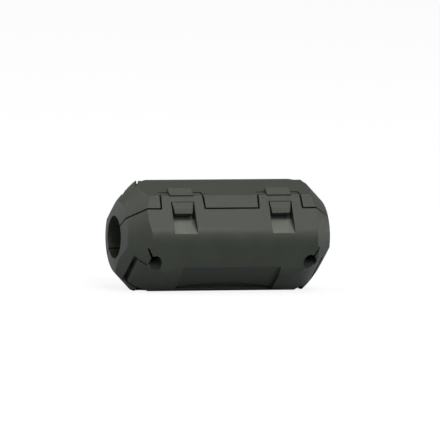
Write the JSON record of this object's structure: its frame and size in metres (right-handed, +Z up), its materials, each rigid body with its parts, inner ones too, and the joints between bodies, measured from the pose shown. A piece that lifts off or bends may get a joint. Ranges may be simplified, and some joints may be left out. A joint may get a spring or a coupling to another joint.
{
  "type": "clip on ferrite bead",
  "caption": "Hinged two-part moulded housing with snap latches, holding a split ferrite ring round a thin cable to damp interference.",
  "frame": {"origin": "on the axis of the cable bore, midway along it", "axes": "+X along the cable, +Z up with the bead lying on one of its flats, and the latches on the -Y side"},
  "size_m": [0.0254, 0.013, 0.0128],
  "materials": {
    "shell_nylon": "dark olive grey moulded nylon with a fine matte grain",
    "core_ferrite": "dense sintered ferrite, near black, with ground mating faces"
  },
  "bodies": {
    "lower_half": {"lower_shell": "shell_nylon", "lower_core": "core_ferrite"},
    "upper_half": {"upper_shell": "shell_nylon", "upper_core": "core_ferrite"}
  },
  "joints": [
    {"name": "lid_hinge", "type": "hinge", "parent": "lower_half", "child": "upper_half", "pos_m": [0, 0.00523, -0.00387], "axis": [-1, 0, 0], "range_deg": [0, 100]}
  ]
}
